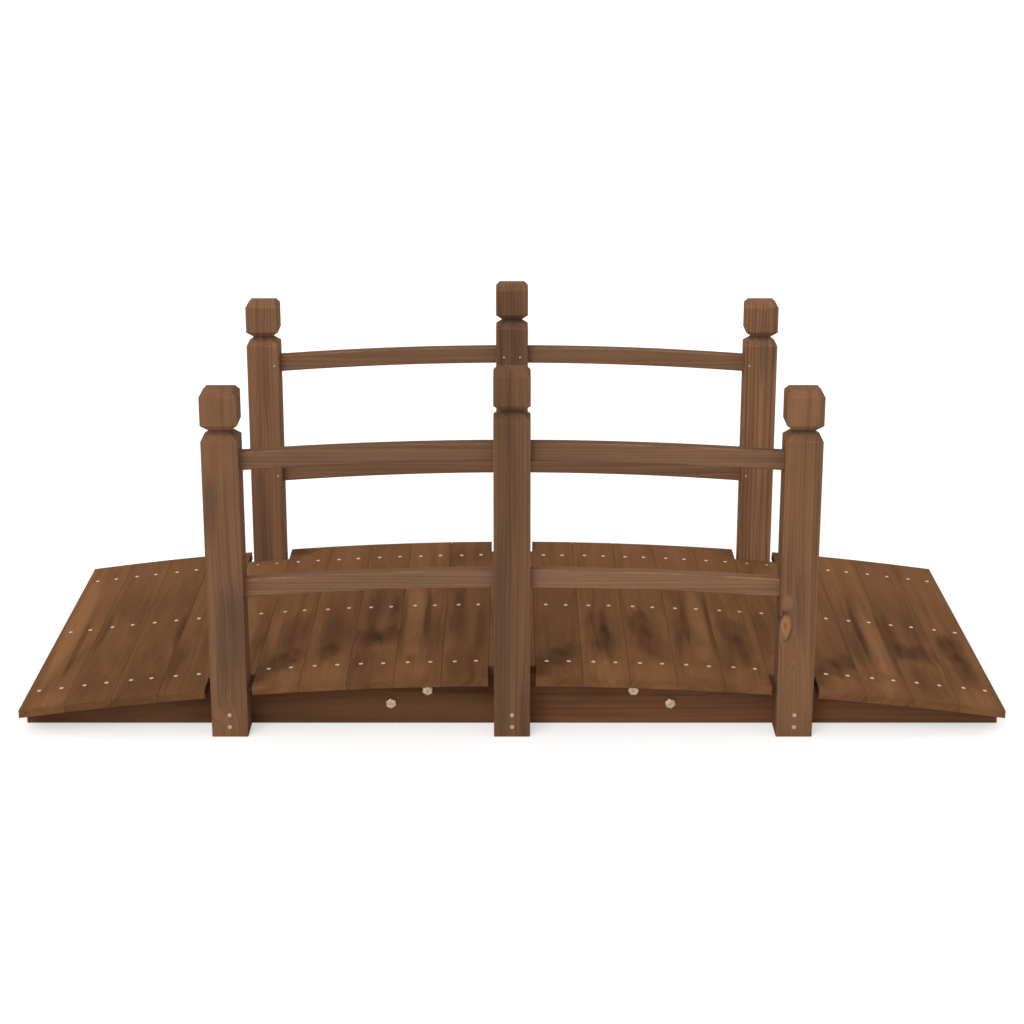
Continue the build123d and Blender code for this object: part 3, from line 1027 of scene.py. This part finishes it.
def model_nut():
    """Washer, nut and the end of the bolt with its thread, on a seat at z = 0."""
    washer = add_cylinder(WASHER_SIDES, WASHER_RADIUS, 0, WASHER_THICKNESS)
    round_rim(washer, WASHER_THICKNESS * WASHER_RIM_SHARE, WASHER_RIM_STEPS)
    top = WASHER_THICKNESS + NUT_HEIGHT
    nut = add_hexagon(WASHER_THICKNESS, top, (1, -1))
    end = add_cylinder(THREAD_SIDES, BOLT_RADIUS, WASHER_THICKNESS, top)
    select_faces(end, 1)
    for share in (THREAD_DEPTH_SHARE, 1 / THREAD_DEPTH_SHARE) * THREAD_TURNS:
        bpy.ops.mesh.extrude_region_move(TRANSFORM_OT_translate={"value": (0, 0, THREAD_PITCH / 2)})
        bpy.ops.transform.resize(value=(share, share, 1))
    bpy.ops.mesh.bevel(offset=THREAD_PITCH / 2, segments=THREAD_RIM_STEPS, affect="EDGES")
    bpy.ops.object.mode_set(mode="OBJECT")
    deselect()
    for piece in (washer, nut, end):
        piece.select_set(True)
    bpy.context.view_layer.objects.active = washer
    bpy.ops.object.join()
    return smooth(washer, BOLT_SMOOTHING)


def place_copies(model, places, name, metal):
    """Copies a modelled fastener to every place and joins the copies into one piece."""
    deselect()
    for place in places:
        copy = model.copy()
        copy.data = model.data.copy()
        copy.matrix_world = place
        bpy.context.scene.collection.objects.link(copy)
        copy.select_set(True)
        bpy.context.view_layer.objects.active = copy
    bpy.ops.object.join()
    bpy.ops.object.transform_apply(location=True, rotation=True, scale=True)
    piece = bpy.context.object
    piece.name = name
    piece.data.materials.clear()
    piece.data.materials.append(metal)
    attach(piece, "root")


def stand_on(direction, place, turn=0.0):
    """Matrix that stands a fastener, modelled along +Z, on a face that points in a direction."""
    stand = Vector(direction).to_track_quat("Z", "Y").to_matrix().to_4x4()
    return Matrix.Translation(place) @ stand @ Matrix.Rotation(turn, 4, "Z")


# The arch through the middles of the planks, from the crown plank and one near the end
CROWN_STEP = len(PLANKS) // 2
CROWN = box_centre(PLANKS[CROWN_STEP])
NEAR_END = box_centre(PLANKS[1])
ARCH_DROP = CROWN.z - NEAR_END.z
ARCH_RADIUS = (NEAR_END.x**2 + ARCH_DROP**2) / (2 * ARCH_DROP)
PLANK_STEP = math.asin(-NEAR_END.x / ARCH_RADIUS) / (CROWN_STEP - 1)
CROWN_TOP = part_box(PLANKS[CROWN_STEP])[1].z


def on_deck(step, along, across, lift):
    """Matrix on the deck: a plank's number from the crown, then metres along the arch, across and up."""
    turn = Matrix.Rotation(step * PLANK_STEP, 4, "Y")
    up = ARCH_RADIUS + CROWN_TOP - CROWN.z + lift
    arch_centre = Matrix.Translation((0, 0, CROWN.z - ARCH_RADIUS))
    return arch_centre @ turn @ Matrix.Translation((along, across, up))


screw_head = model_screw_head(RECESS)
for line in ("front", "middle", "rear"):
    chance = random.Random(line)
    places = []
    for number in range(len(PLANKS)):
        for side in (-1, 1):
            along = side * SCREW_FROM_PLANK_CENTRE + chance.uniform(-SCREW_STRAY, SCREW_STRAY)
            across = box_centre(line + "_left_beam").y + chance.uniform(-SCREW_STRAY, SCREW_STRAY)
            spin = Matrix.Rotation(chance.uniform(0, math.pi), 4, "Z")
            places.append(on_deck(number - CROWN_STEP, along, across, SCREW_STANDS_PROUD) @ spin)
    place_copies(screw_head, places, f"{line}_deck_screws", SCREW_METAL)

foot_screw_head = model_screw_head(FILLED_RECESS)
chance = random.Random("feet")
foot_places = []
for post in POSTS:
    low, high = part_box(post)
    outward = math.copysign(1, low.y)
    face_y = low.y if outward < 0 else high.y
    for height in FOOT_SCREW_HEIGHTS:
        spot = (box_centre(post).x, face_y + outward * SCREW_STANDS_PROUD, height)
        foot_places.append(stand_on((0, outward, 0), spot, chance.uniform(0, math.pi)))
place_copies(foot_screw_head, foot_places, "post_foot_screws", DULL_METAL)

nail_places = []
for rail in RAILS:
    low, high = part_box(rail)
    for post in POSTS:
        post_low, post_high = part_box(post)
        if post_low.y * low.y < 0 or post_high.x < low.x or post_low.x > high.x:
            continue
        centre = box_centre(post)
        bay_side = math.copysign(1, box_centre(rail).x - centre.x)
        from_edge = NAIL_FROM_CENTRE_POST_EDGE if "centre" in post else NAIL_FROM_END_POST_EDGE
        x = centre.x + bay_side * ((post_high.x - post_low.x) / 2 - from_edge)
        inward = -math.copysign(1, low.y)
        face_y = post_high.y if inward > 0 else post_low.y
        z = high.z - RAIL_HALF_HEIGHT - x**2 / (2 * ARCH_RADIUS)
        nail_places.append(stand_on((0, inward, 0), (x, face_y, z)))
nail_head = model_nail_head()
place_copies(nail_head, nail_places, "rail_nails", DULL_METAL)

bolt_head = model_bolt_head()
nut = model_nut()
head_places = []
nut_places = []
for line in ("front", "middle", "rear"):
    beam_low, beam_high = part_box(line + "_left_beam")
    splice_low, splice_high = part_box(line + "_splice_board")
    hidden = math.copysign(1, splice_low.y - beam_low.y)
    head_y = beam_low.y if hidden > 0 else beam_high.y
    nut_y = splice_high.y if hidden > 0 else splice_low.y
    for x, z, turn in BOLT_PLACES:
        head_places.append(stand_on((0, -hidden, 0), (x, head_y, z), math.radians(turn)))
        nut_places.append(stand_on((0, hidden, 0), (x, nut_y, z), x))
place_copies(bolt_head, head_places, "beam_bolts", BOLT_METAL)
place_copies(nut, nut_places, "beam_nuts", BOLT_METAL)

for model in (screw_head, foot_screw_head, nail_head, bolt_head, nut):
    bpy.data.objects.remove(model)


# Floor, light and camera

def seen_directly(tree):
    """1 for what the camera sees, straight or in metal and glass."""
    rays = tree.nodes.new("ShaderNodeLightPath").outputs
    seen = maths(tree, "MAXIMUM", rays["Is Camera Ray"], rays["Is Glossy Ray"])
    return maths(tree, "MAXIMUM", seen, rays["Is Transmission Ray"])


def make_floor():
    """Large pale floor that shows white to the camera and keeps the object's shadow."""
    deselect()
    bpy.ops.mesh.primitive_plane_add(size=FLOOR_SIZE, location=(0, 0, -FLOOR_DROP))
    floor = bpy.context.object
    floor.name = "floor"
    material = bpy.data.materials.new("pale_floor")
    material.use_nodes = True
    tree = material.node_tree
    shader = tree.nodes["Principled BSDF"]
    shader.inputs["Base Color"].default_value = FLOOR_COLOUR
    shader.inputs["Roughness"].default_value = 1.0
    shader.inputs["Specular IOR Level"].default_value = 0.0
    shader.inputs["Emission Color"].default_value = (1, 1, 1, 1)
    glow = maths(tree, "MULTIPLY", seen_directly(tree), FLOOR_GLOW)
    tree.links.new(glow, shader.inputs["Emission Strength"])
    floor.data.materials.append(material)


def make_light():
    """Even white sky, seen as white by the camera, and one soft key from the front."""
    world = bpy.data.worlds.new("studio")
    bpy.context.scene.world = world
    world.use_nodes = True
    tree = world.node_tree
    sky = tree.nodes["Background"]
    sky.inputs["Color"].default_value = (1, 1, 1, 1)
    strength = ramp(tree, seen_directly(tree), 0, 1, SKY_STRENGTH, 1.0)
    tree.links.new(strength, sky.inputs["Strength"])
    key = bpy.data.lights.new("key", "SUN")
    key.energy = KEY_STRENGTH
    key.angle = math.radians(KEY_SOFTNESS)
    lamp = bpy.data.objects.new("key", key)
    lamp.rotation_euler = [math.radians(angle) for angle in KEY_TURN]
    bpy.context.scene.collection.objects.link(lamp)


def make_camera():
    """Camera in front of the bridge's middle, pitched down on it."""
    lens = bpy.data.cameras.new("camera")
    lens.lens = CAMERA_LENS_MM
    camera = bpy.data.objects.new("camera", lens)
    camera.location = CAMERA_PLACE
    camera.rotation_euler = (math.radians(90 - CAMERA_PITCH), 0, 0)
    bpy.context.scene.collection.objects.link(camera)
    bpy.context.scene.camera = camera


make_floor()
make_light()
make_camera()
bpy.context.scene.view_settings.view_transform = "Standard"
